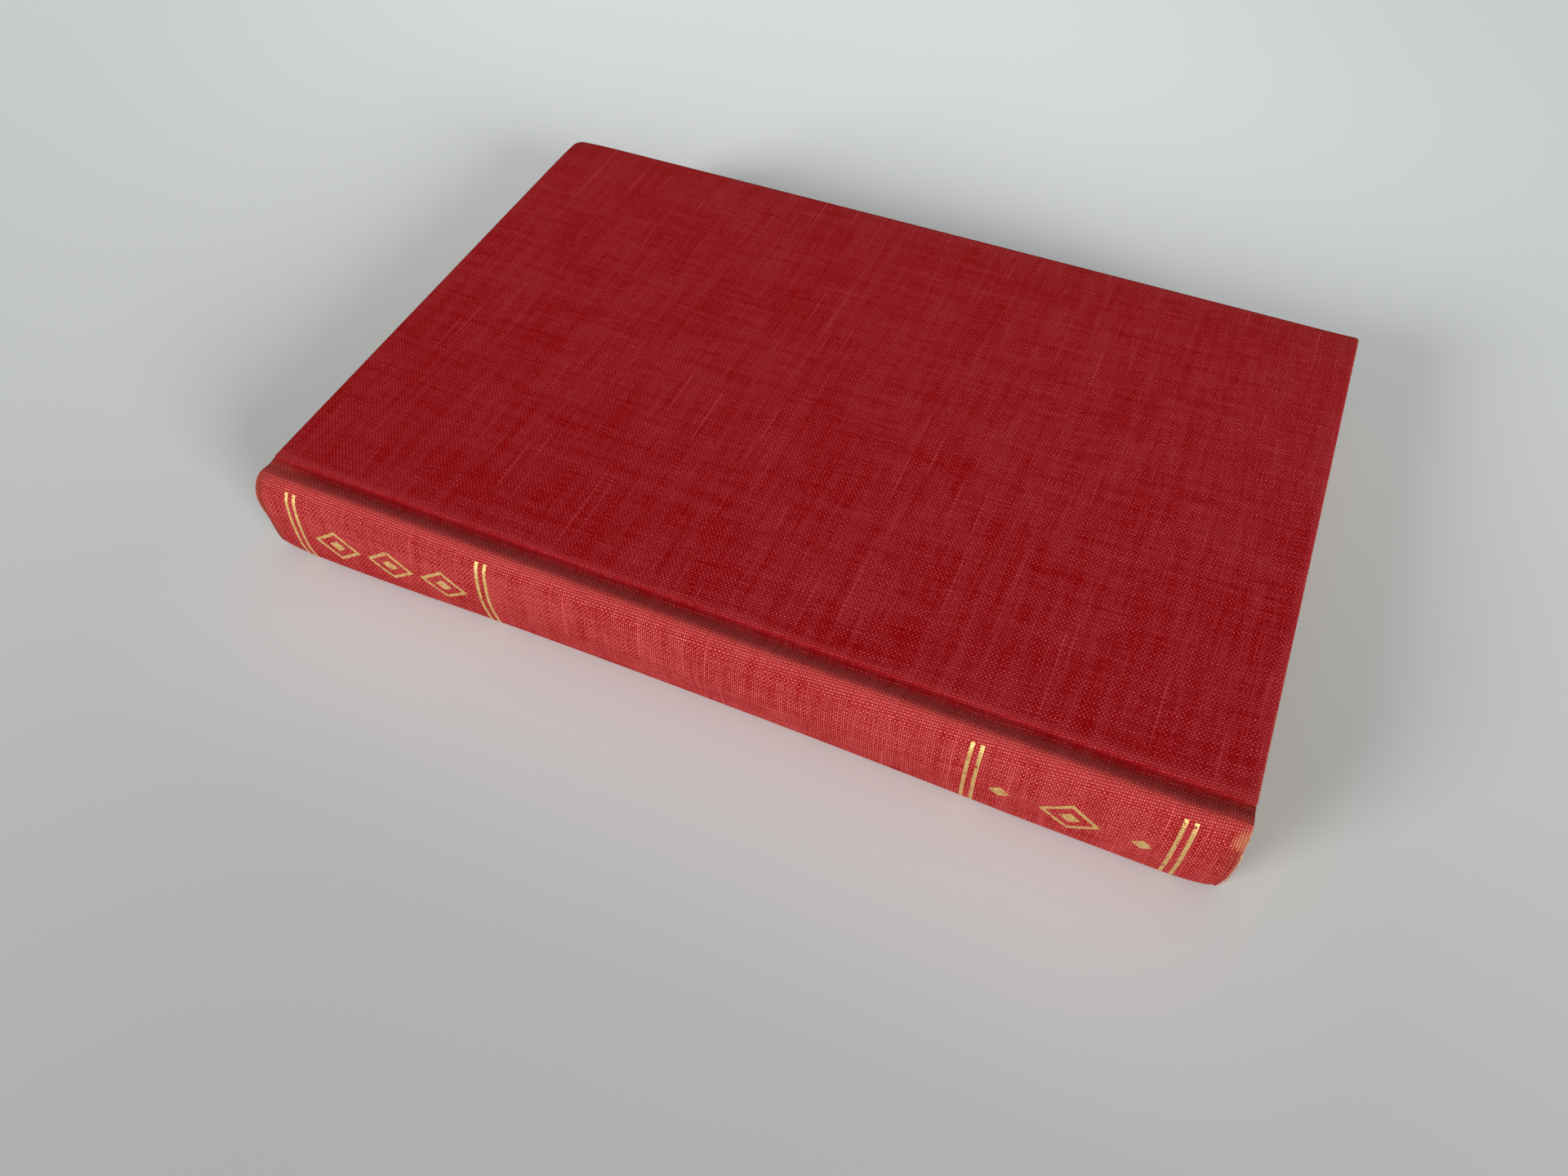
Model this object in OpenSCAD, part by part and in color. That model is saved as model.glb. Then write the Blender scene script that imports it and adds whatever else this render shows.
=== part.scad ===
// A cloth-covered hardback book, closed, lying on its back cover.
// X runs from the spine (-X) to the fore edge (+X), Y from the tail (-Y) to the head (+Y), Z up through
// the front cover. The origin is under the middle of the book. Sizes are in millimetres.

/* [Case] */
// Length of a covered board, tail to head
cover_len = 196; // [150:1:260]
// Width of a covered board, joint edge to fore edge
cover_wid = 124; // [100:1:190]
// Thickness of the closed book over both covers
book_thick = 20.5; // [17:0.5:45]
// Thickness of the grey board in a cover
board_t = 2.3; // [1.8:0.1:3]
// Thickness of the covering cloth
cloth_t = 0.35; // [0.25:0.05:0.5]
// How far the cloth is turned in over the boards and the spine ends
turn_in = 14; // [10:1:18]
// Rounding of the cloth over a board's edges
edge_r = 0.6; // [0.4:0.1:0.8]
// Rounding of a board's corners, seen from above
corner_r = 0.8; // [0.6:0.1:3]
// Rounding of the knocked corner at the head and fore edge of the front cover
knock_r = 2.4; // [1:0.1:5]

/* [Spine] */
// How far the middle of the spine stands out past its shoulders
spine_round = 0.8; // [0.3:0.1:3]
// Distance from a board's joint edge to the top of the shoulder ridge
ridge_u = 4; // [4:0.1:4.6]
// Radius of the rounded shoulder on the spine's side of the ridge
shoulder_r = 3.4; // [3.2:0.1:3.8]
// Radius of the ridge on its joint side
ridge_r = 1.6; // [1.5:0.05:1.9]
// Radius at the foot of the joint groove
groove_r = 1; // [0.8:0.05:1.1]
// Thickness of the card strip in the spine
inlay_t = 0.6; // [0.4:0.05:0.8]
// Angle on the shoulder, from the ridge's top, at which the card strip ends
inlay_end = 42; // [40:1:55]
// Clear space of the hollow back, between the card strip and the lining
hollow = 0.45; // [0.4:0.05:0.6]

/* [Text block] */
// How far the covers stand out past the leaves at the head and tail
square_y = 3; // [2:0.5:5]
// How far the covers stand out past the leaves at the fore edge
square_x = 3; // [2:0.5:5]
// Depth of the hollow in the fore edge, which answers the round of the spine
fore_hollow = 0.9; // [0.3:0.1:2]
// Thickness of a leaf of endpaper
paper_t = 0.15; // [0.1:0.05:0.2]
// Thickness of the mull
mull_t = 0.15; // [0.1:0.05:0.2]
// Thickness of the kraft lining
kraft_t = 0.15; // [0.1:0.05:0.2]
// How far the mull reaches on to each board
mull_reach = 25; // [15:1:35]
// How far the mull stops short of the covers' ends
mull_short = 15; // [15:1:25]
// Air between a closed cover and the leaves
leaf_gap = 0.1; // [0.05:0.05:0.3]

/* [Gilt] */
// Thickness of the foil
foil_t = 0.08; // [0.05:0.01:0.12]
// Width of a gilt line
line_w = 0.7; // [0.4:0.1:1.2]
// Space between the two lines of a pair
line_gap = 1.1; // [0.6:0.1:2]
// Distance from the spine's ends to the outer pairs of lines
line_end = 9; // [6:1:14]
// Length of the panel under the head pair of lines
head_panel = 44; // [30:1:60]
// Length of the panel over the tail pair of lines
tail_panel = 36; // [25:1:50]
// Length along the spine of a large lozenge
lozenge_len = 11; // [8:1:16]
// Height of a large lozenge
lozenge_h = 8; // [6:0.5:9]
// Distance between the middles of neighbouring lozenges
lozenge_step = 12.5; // [10:0.5:18]
// Size of a small lozenge, as a share of a large one
small_share = 0.35; // [0.2:0.05:0.5]

/* [Fits] */
// Clearance between a part that turns and what stays still
swing_gap = 0.3; // [0.2:0.05:0.4]

/* [Hidden] */

// Steps in a quarter of a circle on the outlines
QUARTER = 9;
// Small overlap of a cutter past the face that it cuts
CUT = 1;
// Angle on the ridge, from the groove's side, at which an endpaper's fold lies
FOLD_A = 110;

// The boards' joint edge is at u = 0: u grows to the fore edge, and is negative over the spine.
mid_z = book_thick / 2;
spine_out = ridge_u + shoulder_r + spine_round;
joint_x = (spine_out + foil_t - cover_wid) / 2;

// Levels in the front cover, from outside in
board_top = book_thick - cloth_t;
board_low = board_top - board_t;
turn_low = board_low - cloth_t;
cover_low = turn_low - paper_t;
leaf_top = cover_low - leaf_gap;
block_top = leaf_top - paper_t;

// Centres of the outline's arcs: ridge, shoulder, foot of the groove and face of the spine
ridge_c = [-ridge_u, book_thick - ridge_r];
shoulder_c = [-ridge_u, book_thick - shoulder_r];
groove_c = [ridge_c[0] + ridge_r + groove_r, ridge_c[1]];
half_h = mid_z - shoulder_r;
reach = ridge_u + spine_round;
face_cu = (ridge_u * ridge_u + half_h * half_h - reach * reach) / (2 * spine_round);
face_c = [face_cu, mid_z];
face_r = face_cu + spine_out;
// Direction, seen from the face's centre, at which the shoulder runs into the face
face_a = 180 - atan2(half_h, face_cu + ridge_u);

// Depths of the layers under the cloth's outer surface, in the joint and on the spine
joint_cloth = cloth_t;
joint_mull = joint_cloth + mull_t;
joint_floor = ridge_c[1] - groove_r;
joint_block = joint_floor - block_top;
spine_card = cloth_t + inlay_t;
spine_kraft = spine_card + hollow;
spine_mull_d = spine_kraft + kraft_t;
spine_block = spine_mull_d + mull_t;
joint_end = -swing_gap;

// Half the lengths along Y
cover_half = cover_len / 2;
board_half = cover_half - cloth_t;
block_half = cover_half - square_y;
mull_half = cover_half - mull_short;
window_half = cover_half - turn_in;
block_fore = cover_wid - square_x;
window_fore = cover_wid - turn_in;

// Points on an arc about c, from angle a0 to angle a1
function arc(c, r, a0, a1) =
    let (n = max(1, ceil(abs(a1 - a0) * QUARTER / 90)))
    [for (i = [0:n]) c + r * [cos(a0 + (a1 - a0) * i / n), sin(a0 + (a1 - a0) * i / n)]];

function reversed(p) = [for (i = [len(p) - 1:-1:0]) p[i]];

// An outline without the points that repeat where two arcs meet
function tidy(p) = [for (i = [0:len(p) - 1]) if (norm(p[i] - p[(i + 1) % len(p)]) > 0.001) p[i]];

// The same outline on the back half of the book, in the order that carries on from the front half
function answered(p) = [for (q = reversed(p)) [q[0], book_thick - q[1]]];

// Angle over the level at which ridge and shoulder share a straight flank, for layers at depths dj and ds
function flank(dj, ds) = asin(min(1, ((shoulder_r - ds) - (ridge_r - dj)) / (shoulder_r - ridge_r)));

// Joint side of the outline, at depth dj under the cloth: floor of the groove, its foot and the ridge to angle a
function joint_side(dj, a) = concat(
    [[joint_end, groove_c[1] - groove_r - dj]],
    arc(groove_c, groove_r + dj, 270, 180),
    arc(ridge_c, ridge_r - dj, 0, a));

// Spine side of the outline, at depth ds: shoulder from angle a, then the face to its middle
function spine_side(ds, a) = concat(
    arc(shoulder_c, shoulder_r - ds, a, face_a),
    arc(face_c, face_r - ds, face_a, 180));

// Front half of the outline, from the joint to the middle of the spine
function front_half(dj, ds) = concat(
    joint_side(dj, 180 - flank(dj, ds)),
    spine_side(ds, 180 - flank(dj, ds)));

function whole(p) = concat(p, answered(p));

// A layer between two outlines of the whole spine
function layer(outer, inner) = tidy(concat(whole(outer), reversed(whole(inner))));

// A rectangle from (x0, y0) to (x1, y1), whose corners have the radii r, anticlockwise from (x0, y0)
function rounded(x0, y0, x1, y1, r) = tidy(concat(
    arc([x0 + r[0], y0 + r[0]], r[0], 180, 270),
    arc([x1 - r[1], y0 + r[1]], r[1], 270, 360),
    arc([x1 - r[2], y1 - r[2]], r[2], 0, 90),
    arc([x0 + r[3], y1 - r[3]], r[3], 90, 180)));

// Puts a shape that is drawn from the joint edge in the book's own frame
module placed() {
    translate([joint_x, 0, 0]) children();
}

// Turns a piece of the front half over for the back half
module turned_over() {
    translate([0, 0, book_thick]) mirror([0, 0, 1]) children();
}

// Draws an outline in X and Z out along Y, over the length 2 * half
module along_y(half) {
    rotate([90, 0, 0]) linear_extrude(height = 2 * half, center = true) children();
}

// A box between two corners
module block(low, high) {
    translate(low) cube(high - low);
}

// Plan of a cover, drawn in by inset, with the radius fore_r at its head and fore-edge corner
module cover_plan(inset, fore_r) {
    polygon(rounded(inset, inset - cover_half, cover_wid - inset, cover_half - inset,
        [corner_r - inset, corner_r - inset, fore_r - inset, corner_r - inset]));
}

// Outer form of a covered board, with rounded edges
module cover_form(fore_r) {
    soft = [cloth_t, cloth_t, edge_r, edge_r];
    intersection() {
        translate([0, 0, turn_low]) linear_extrude(height = book_thick - turn_low) cover_plan(0, fore_r);
        along_y(cover_half) polygon(rounded(0, turn_low, cover_wid, book_thick, soft));
        rotate([90, 0, 90]) linear_extrude(height = cover_wid)
            polygon(rounded(-cover_half, turn_low, cover_half, book_thick, soft));
    }
}

// The grey board inside a cover
module board(fore_r) {
    translate([0, 0, board_low]) linear_extrude(height = board_t) cover_plan(cloth_t, fore_r);
}

// Cloth over a board: outer face, wrapped edges and turned-in strips, which the joint side has not
module cover_cloth(fore_r) {
    difference() {
        cover_form(fore_r);
        board(fore_r);
        block([cloth_t, -window_half, turn_low - CUT], [window_fore, window_half, board_low + board_t / 2]);
        block([-CUT, -window_half, turn_low - CUT], [2 * cloth_t, window_half, board_low]);
    }
}

// Part of the mull that is glued to the board, between the turned-in strips
module mull_flap() {
    block([cloth_t, -mull_half, board_low - mull_t], [mull_reach, mull_half, board_low]);
}

// Half of the endpaper that is pasted to the board: it steps over the turned-in cloth and over the mull
module pastedown() {
    inner_half = window_half - paper_t;
    inner_fore = window_fore - paper_t;
    mull_edge = mull_reach + paper_t;
    difference() {
        union() {
            block([swing_gap, -block_half, cover_low], [block_fore, block_half, turn_low]);
            block([swing_gap, -window_half, cover_low], [window_fore, window_half, board_low - mull_t]);
            block([mull_reach, -window_half, cover_low], [window_fore, window_half, board_low]);
        }
        block([-CUT, -inner_half, cover_low - CUT], [inner_fore, inner_half, board_low - mull_t - paper_t]);
        block([mull_edge, -inner_half, cover_low - CUT], [inner_fore, inner_half, board_low - paper_t]);
    }
}

// The free leaf of an endpaper, with its fold over the ridge of the text block
module endpaper() {
    along_y(block_half) polygon(tidy(concat(
        [[block_fore, leaf_top], [joint_end, leaf_top]],
        joint_side(joint_mull, FOLD_A),
        reversed(joint_side(joint_block, FOLD_A)),
        [[block_fore, block_top]])));
}

// The leaves: shoulders and round at the spine, and a hollow fore edge
module text_block() {
    color("ivory") placed() along_y(block_half) {
        half_t = block_top - mid_z;
        fore_r = (half_t * half_t + fore_hollow * fore_hollow) / (2 * fore_hollow);
        fore_a = asin(half_t / fore_r);
        fore_c = [block_fore + fore_r - fore_hollow, mid_z];
        polygon(tidy(concat(
            whole(front_half(joint_block, spine_block)),
            arc(fore_c, fore_r, 180 + fore_a, 180 - fore_a))));
    }
}

// Cotton over the back of the leaves, from joint to joint
module spine_mull() {
    color("wheat") placed() along_y(mull_half)
        polygon(layer(front_half(joint_cloth, spine_mull_d), front_half(joint_mull, spine_block)));
}

// Paper over the mull, between the shoulders
module spine_lining() {
    lining_a = 180 - flank(joint_cloth, spine_mull_d);
    color("burlywood") placed() along_y(mull_half)
        polygon(layer(spine_side(spine_kraft, lining_a), spine_side(spine_mull_d, lining_a)));
}

// Card strip under the spine's cloth
module spine_inlay() {
    color("silver") placed() along_y(board_half)
        polygon(layer(spine_side(cloth_t, 90 + inlay_end), spine_side(spine_card, 90 + inlay_end)));
}

// Cloth over the spine and down into both joints, turned in over the ends of the card strip
module spine_cloth() {
    lined_a = 90 + inlay_end;
    color("firebrick") placed() {
        along_y(cover_half) polygon(layer(front_half(0, 0), front_half(cloth_t, cloth_t)));
        for (s = [-1, 1]) {
            translate([0, s * (cover_half + window_half) / 2, 0]) along_y((cover_half - window_half) / 2)
                polygon(layer(spine_side(spine_card, lined_a), spine_side(spine_card + cloth_t, lined_a)));
            translate([0, s * (cover_half + board_half) / 2, 0]) along_y((cover_half - board_half) / 2)
                polygon(layer(spine_side(cloth_t / 2, lined_a), spine_side(spine_card + cloth_t, lined_a)));
        }
    }
}

// Foil that lies on the face of the spine, as an outline in Y and Z
module foil() {
    intersection() {
        along_y(cover_half) polygon(layer(spine_side(-foil_t, 90 + inlay_end), spine_side(0, 90 + inlay_end)));
        translate([-spine_out - CUT, 0, 0]) rotate([90, 0, 90]) linear_extrude(height = spine_out) children();
    }
}

// A pair of gilt lines across the spine at y
module line_pair(y) {
    for (s = [-1, 1])
        translate([y + s * (line_gap + line_w) / 2 - line_w / 2, 0]) square([line_w, book_thick]);
}

// A lozenge at y, of a length along Y and a height h
module lozenge(y, length, h) {
    translate([y, mid_z]) polygon([[-length / 2, 0], [0, -h / 2], [length / 2, 0], [0, h / 2]]);
}

module small_lozenge(y) {
    lozenge(y, lozenge_len * small_share, lozenge_h * small_share);
}

// A lozenge whose sides are a gilt line wide, with a small full one inside
module framed_lozenge(y) {
    in_radius = lozenge_len * lozenge_h / (2 * norm([lozenge_len, lozenge_h]));
    inner = 1 - line_w / in_radius;
    difference() {
        lozenge(y, lozenge_len, lozenge_h);
        lozenge(y, lozenge_len * inner, lozenge_h * inner);
    }
    small_lozenge(y);
}

// Gilt stamping: pairs of lines that set off a panel at the head and one at the tail, with lozenges in them
module spine_gilt() {
    head_y = cover_half - line_end;
    tail_y = line_end - cover_half;
    color("goldenrod") placed() foil() {
        line_pair(head_y);
        line_pair(head_y - head_panel);
        line_pair(tail_y);
        line_pair(tail_y + tail_panel);
        for (i = [-1:1]) framed_lozenge(head_y - head_panel / 2 + i * lozenge_step);
        framed_lozenge(tail_y + tail_panel / 2);
        for (s = [-1, 1]) small_lozenge(tail_y + tail_panel / 2 + s * lozenge_step);
    }
}

module front_endpaper() {
    color("cornsilk") placed() endpaper();
}

module back_endpaper() {
    color("cornsilk") placed() turned_over() endpaper();
}

module front_board() {
    color("darkgray") placed() board(knock_r);
}

module front_mull_flap() {
    color("wheat") placed() mull_flap();
}

module front_cover_cloth() {
    color("firebrick") placed() cover_cloth(knock_r);
}

module front_pastedown() {
    color("cornsilk") placed() pastedown();
}

module back_board() {
    color("darkgray") placed() turned_over() board(corner_r);
}

module back_mull_flap() {
    color("wheat") placed() turned_over() mull_flap();
}

module back_cover_cloth() {
    color("firebrick") placed() turned_over() cover_cloth(corner_r);
}

module back_pastedown() {
    color("cornsilk") placed() turned_over() pastedown();
}

text_block();
spine_mull();
spine_lining();
spine_inlay();
spine_cloth();
spine_gilt();
front_endpaper();
back_endpaper();
front_board();
front_mull_flap();
front_cover_cloth();
front_pastedown();
back_board();
back_mull_flap();
back_cover_cloth();
back_pastedown();
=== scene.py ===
"""Looks of a cloth-covered hardback book: woven case cloth, gilt spine, leaves, light and camera.

Shapes are worked out in millimetres, from the boards' joint edge: u grows to the fore edge and is negative
over the spine, y runs from tail to head, z is the height over the table. build() turns them into metres.
"""

import random
from functools import lru_cache
from math import asin, atan2, copysign, cos, degrees, hypot, pi, radians, sin, sqrt

import bmesh
import bpy
import numpy as np
from mathutils import Matrix, Vector


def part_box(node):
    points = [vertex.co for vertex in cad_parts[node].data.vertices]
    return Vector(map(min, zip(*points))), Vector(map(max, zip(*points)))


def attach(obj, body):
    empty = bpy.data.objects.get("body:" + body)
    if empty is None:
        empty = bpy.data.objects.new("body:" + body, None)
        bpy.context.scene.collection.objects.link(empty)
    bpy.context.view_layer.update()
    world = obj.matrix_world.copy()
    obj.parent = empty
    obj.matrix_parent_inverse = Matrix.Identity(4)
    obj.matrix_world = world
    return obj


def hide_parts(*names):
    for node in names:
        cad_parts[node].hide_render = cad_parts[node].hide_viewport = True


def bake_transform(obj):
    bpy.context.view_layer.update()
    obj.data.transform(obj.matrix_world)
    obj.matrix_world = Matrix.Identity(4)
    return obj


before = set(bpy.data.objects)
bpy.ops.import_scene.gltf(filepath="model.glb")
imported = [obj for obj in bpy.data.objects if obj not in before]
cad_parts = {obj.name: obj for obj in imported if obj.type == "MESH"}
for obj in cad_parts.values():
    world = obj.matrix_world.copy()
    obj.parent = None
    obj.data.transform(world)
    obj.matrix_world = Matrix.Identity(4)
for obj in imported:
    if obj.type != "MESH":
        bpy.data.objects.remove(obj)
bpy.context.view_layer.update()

MM = 0.001


def box_mm(node):
    """A CAD node's lowest and highest corners, in millimetres."""
    low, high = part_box(node)
    return np.array(low) / MM, np.array(high) / MM


# Sizes read from the frame
COVER_LOW, COVER_HIGH = box_mm("front_cover_cloth")
JOINT_X = COVER_LOW[0]
COVER_WID = COVER_HIGH[0] - COVER_LOW[0]
COVER_HALF = COVER_HIGH[1]
BOOK_T = COVER_HIGH[2]
MID_Z = BOOK_T / 2
SPINE_OUT = JOINT_X - box_mm("spine_cloth")[0][0]
BLOCK_HIGH = box_mm("text_block")[1]
BLOCK_HALF = BLOCK_HIGH[1]
BLOCK_FORE = BLOCK_HIGH[0] - JOINT_X
BOARD_LOW, BOARD_HIGH = box_mm("front_board")

# Sizes of the case, as in the CAD source
CLOTH_T = 0.35
CARD_T = 0.6
TURN_IN = 14.0
EDGE_R = 0.6
CORNER_R = 0.8
KNOCK_R = 2.4
RIDGE_U = 4.0
RIDGE_R = 1.6
SHOULDER_R = 3.4
GROOVE_R = 1.0
SPINE_ROUND = 0.8
FORE_HOLLOW = 0.9
SPINE_BLOCK = 1.7
JOINT_BLOCK = 0.8
BLOCK_TOP = 17.1
PAPER_T = 0.15

# Gilt stamping, as in the CAD source
FOIL_T = 0.05
FOIL_SINK = 0.03
LINE_W = 0.7
LINE_GAP = 1.1
LINE_HIGH = 19.63
HEAD_LINES = (89.0, 45.0)
TAIL_LINES = (-89.0, -53.0)
LOZENGE = (11.0, 8.0)
LOZENGE_STEP = 12.5
SMALL_SHARE = 0.35

# Spacing of the cloth's threads: those that run along Y, and those that run along X
PITCH_U = 0.543
PITCH_V = 0.413


# Meshes

def to_metres(points):
    """Points (u, y, z) in millimetres, in the book's own frame in metres."""
    return (np.asarray(points, float) + [JOINT_X, 0, 0]) * MM


def linked(name, data):
    """A new object in the scene."""
    obj = bpy.data.objects.new(name, data)
    bpy.context.scene.collection.objects.link(obj)
    return obj


def build(name, points, faces, material, uvs=None, marks=None, smooth_angle=40):
    """A mesh object from points in millimetres. uvs has a pair for each corner of each face, in millimetres
    of cloth, and marks gives values from 0 to 1 for each point, such as how much it is faded."""
    mesh = bpy.data.meshes.new(name)
    mesh.from_pydata(to_metres(points).tolist(), [], [list(map(int, f)) for f in faces])
    if uvs is not None:
        layer = mesh.uv_layers.new(name="cloth_mm")
        layer.uv.foreach_set("vector", np.asarray(uvs, np.float32).ravel())
    for mark, values in (marks or {}).items():
        attribute = mesh.attributes.new(mark, "FLOAT", "POINT")
        attribute.data.foreach_set("value", np.clip(values, 0, 1).astype(np.float32))
    outward = bmesh.new()
    outward.from_mesh(mesh)
    bmesh.ops.recalc_face_normals(outward, faces=outward.faces)
    outward.to_mesh(mesh)
    outward.free()
    mesh.shade_smooth()
    mesh.set_sharp_from_angle(angle=radians(smooth_angle))
    mesh.materials.append(material)
    return linked(name, mesh)


def settle(obj, body, slot, *nodes):
    """Fixes a piece to a body and takes out the CAD nodes that it stands for. slot is not used."""
    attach(obj, body)
    if nodes:
        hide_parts(*nodes)


def sided(points, back):
    """Points of the front half of the book, or the same on its back half."""
    out = np.array(points, float)
    if back:
        out[:, 2] = BOOK_T - out[:, 2]
    return out


def grid_faces(rows, columns, closed_rows=False, closed_columns=False):
    """Quads over a grid of points in row order."""
    faces = []
    for i in range(rows if closed_rows else rows - 1):
        for j in range(columns if closed_columns else columns - 1):
            a, b = i * columns + j, i * columns + (j + 1) % columns
            c, d = ((i + 1) % rows) * columns + (j + 1) % columns, ((i + 1) % rows) * columns + j
            faces.append((a, b, c, d))
    return faces


def moved_on(faces, n):
    """Faces over points that start n points further on."""
    return [tuple(k + n for k in f) for f in faces]


def thickened(faces, n):
    """Faces of a sheet, of its copy n points on, and of the sides between them."""
    under = moved_on([f[::-1] for f in faces], n)
    edges = {(a, b) for f in faces for a, b in zip(f, f[1:] + f[:1])}
    sides = [(b, a, a + n, b + n) for a, b in sorted(edges) if (b, a) not in edges]
    return faces + under + sides


def smoothstep(x, low=0.0, high=1.0):
    t = np.clip((np.asarray(x, float) - low) / (high - low), 0, 1)
    return t * t * (3 - 2 * t)


def bell(x, middle, width):
    return np.exp(-(((x - middle) / width) ** 2))


def fading(distance, length):
    """1 at an edge, dying away over about that length."""
    return np.exp(-np.clip(distance, 0, None) / length)


def arc(centre, radius, a0, a1, n):
    """Points on an arc, with both ends."""
    a = np.radians(np.linspace(a0, a1, n))
    return np.c_[centre[0] + radius * np.cos(a), centre[1] + radius * np.sin(a)]


def walked(points):
    """Distance along a line of points to each of them."""
    return np.r_[0, np.cumsum(np.linalg.norm(np.diff(points, axis=0), axis=1))]


def resampled(points, n):
    """n points evenly along a line of points."""
    points = np.asarray(points, float)
    step = walked(points)
    at = np.linspace(0, step[-1], n)
    return np.c_[np.interp(at, step, points[:, 0]), np.interp(at, step, points[:, 1])]


def spline(points, n):
    """n points evenly along a smooth curve through the given points."""
    p = np.asarray(points, float)
    p = np.vstack([2 * p[0] - p[1], p, 2 * p[-1] - p[-2]])
    t = np.linspace(0, 1, 12, endpoint=False)[:, None]
    fine = []
    for a, b, c, d in zip(p, p[1:], p[2:], p[3:]):
        square = (2 * a - 5 * b + 4 * c - d) * t**2
        cube = (3 * b - a - 3 * c + d) * t**3
        fine.append(0.5 * (2 * b + (c - a) * t + square + cube))
    return resampled(np.vstack(fine + [p[-2:-1]]), n)


def normals_2d(line):
    """Unit normals of a line, to its right: outwards for the outlines below."""
    d = np.gradient(line, axis=0)
    n = np.c_[d[:, 1], -d[:, 0]]
    return n / np.linalg.norm(n, axis=1)[:, None]


# The case's outline over the spine, at mid-length and at both ends

JOINT_N = 24
SPINE_N = 72
RIDGE_C = (-RIDGE_U, BOOK_T - RIDGE_R)
SHOULDER_C = (-RIDGE_U, BOOK_T - SHOULDER_R)
GROOVE_C = (RIDGE_C[0] + RIDGE_R + GROOVE_R, RIDGE_C[1])
HALF_H = MID_Z - SHOULDER_R
REACH = RIDGE_U + SPINE_ROUND
FACE_U = (RIDGE_U**2 + HALF_H**2 - REACH**2) / (2 * SPINE_ROUND)
FACE_R = FACE_U + SPINE_OUT
FACE_A = 180 - degrees(atan2(HALF_H, FACE_U + RIDGE_U))
# The joint strip starts inside the cover's edge, so that no line of light shows
JOINT_START = 0.12
# The lower shoulder's dent at mid-length, half its length, and its swelling towards the head
PRESS_DEPTH = 0.55
PRESS_HALF = 62
HEAD_SWELL = 0.4


def shoulder_line(depth, a0):
    """Front half of the spine's outline at a depth, from an angle on the shoulder to the face's middle."""
    return np.vstack([
        arc(SHOULDER_C, SHOULDER_R - depth, a0, FACE_A, 24),
        arc((FACE_U, MID_Z), FACE_R - depth, FACE_A, 180, 16)[1:],
    ])


def answered(points):
    """A line over the front half of the spine, carried on over the back half."""
    back = points[::-1].copy()
    back[:, 1] = BOOK_T - back[:, 1]
    return np.vstack([points, back[1:]])


GROOVE_MID = spline([(JOINT_START, 19.2), (-0.7, 19.1), (-1.5, 19.4), (-2.2, 19.8), (-2.8, 20.12),
                     (-3.35, 20.36), (-RIDGE_U, BOOK_T)], JOINT_N)
GROOVE_BACK = resampled(np.vstack([
    [[JOINT_START, GROOVE_C[1] - GROOVE_R]],
    arc(GROOVE_C, GROOVE_R, 270, 180, 8),
    arc(RIDGE_C, RIDGE_R, 0, 90, 12)[1:],
]), JOINT_N)
GROOVE_BACK_END = spline([(JOINT_START, 19.6), (-1.2, 19.4), (-2.6, 19.9), (-RIDGE_U, BOOK_T - 0.25)],
                         JOINT_N)
SPINE_MID = resampled(answered(shoulder_line(0, 90)), SPINE_N)
SPINE_LEN = walked(SPINE_MID)[-1]

# Outlines of the worn ends, as (u, z): over the front joint, and from the front ridge to the back one
GROOVE_HEAD = spline([(JOINT_START, 20.1), (-1.2, 19.9), (-2.6, 20.1), (-RIDGE_U, 20.25)], JOINT_N)
GROOVE_TAIL = spline([(JOINT_START, 20.0), (-1.0, 20.1), (-2.2, 20.7), (-RIDGE_U, 21.1)], JOINT_N)
SPINE_HEAD = spline([(-RIDGE_U, 20.25), (-5.6, 19.6), (-6.9, 18.1), (-7.6, 16.2), (-7.7, 13.6), (-7.4, 11),
                     (-7.1, 8), (-6.9, 5), (-6.6, 2.6), (-5.8, 0.9), (-RIDGE_U, 0.25)], SPINE_N)
SPINE_TAIL = spline([(-RIDGE_U, 21.1), (-5.5, 20.3), (-7.2, 18.8), (-8.4, 16.4), (-8.9, 13.4), (-8.7, 10),
                     (-8.0, 7), (-7.0, 4.2), (-6.0, 2.2), (-5.0, 0.8), (-RIDGE_U, 0.25)], SPINE_N)


def near_end(y, length, power):
    """How near y is to an end of the book: 0 in the middle, growing to 1 over the last length."""
    return np.clip((abs(y) - (COVER_HALF - length)) / length, 0, 1) ** power


def spine_end(y):
    """Share of the worn end's outline that the spine and its ridges have at y."""
    return near_end(y, 12, 3)


def between(y, middle, end, foot):
    """Outline at y between two. foot is the end's share at the cover's edge; the ridge has the spine's."""
    reach = np.linspace(0, 1, JOINT_N)[:, None] ** 2
    weight = foot * (1 - reach) + spine_end(y) * reach
    return middle * (1 - weight) + end * weight


def groove_line(y):
    """Outline over the front joint at y, from the cover's edge to the top of the ridge."""
    if y > 0:
        return between(y, GROOVE_MID, GROOVE_HEAD, smoothstep(near_end(y, 16, 1.2)))
    return between(y, GROOVE_MID, GROOVE_TAIL, smoothstep(near_end(y, 10, 1.3)))


def back_groove_line(y):
    """The same over the back joint, which lies on the table and is hardly worn."""
    return between(y, GROOVE_BACK, GROOVE_BACK_END, near_end(y, 8, 1.5) * 0.5)


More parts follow.
